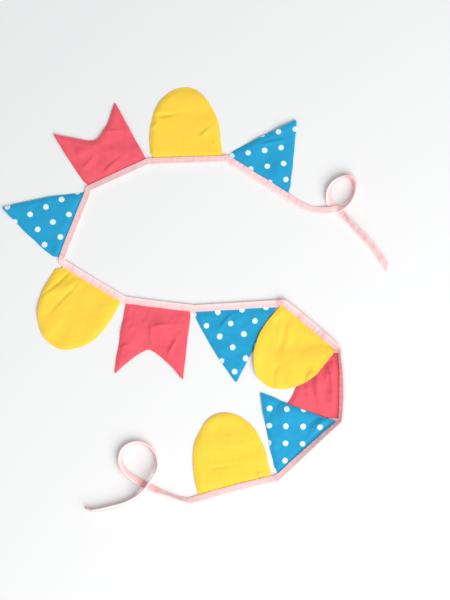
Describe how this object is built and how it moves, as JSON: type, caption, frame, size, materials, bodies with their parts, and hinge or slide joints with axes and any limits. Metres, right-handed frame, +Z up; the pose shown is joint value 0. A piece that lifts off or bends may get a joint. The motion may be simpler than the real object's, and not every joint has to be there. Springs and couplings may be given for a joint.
{
  "type": "fabric bunting",
  "caption": "Cotton bunting of triangle, round and swallowtail pennants sewn into one folded binding with a curled tie at each end, laid out flat.",
  "frame": {"origin": "middle of the laid-out bunting's box, on the surface it rests on", "axes": "+Z up from the surface, +Y along the longer side of the layout, towards the round pennant at the top of the curve, +X towards the tie with the short loop"},
  "size_m": [0.654, 0.722, 0.0194],
  "materials": {
    "pink_tape": "matt plain-weave cotton tape, pale pink",
    "blue_dotted_cotton": "matt plain-weave cotton, blue with an ordinary white polka dot",
    "yellow_cotton": "matt plain-weave cotton, warm yellow",
    "coral_cotton": "matt plain-weave cotton, coral red"
  },
  "bodies": {
    "root": {"binding": "pink_tape", "triangle_1": "blue_dotted_cotton", "round_2": "yellow_cotton", "swallowtail_3": "coral_cotton", "triangle_4": "blue_dotted_cotton", "round_5": "yellow_cotton", "swallowtail_6": "coral_cotton", "triangle_7": "blue_dotted_cotton", "round_8": "yellow_cotton", "swallowtail_9": "coral_cotton", "triangle_10": "blue_dotted_cotton", "round_11": "yellow_cotton"}
  },
  "joints": []
}
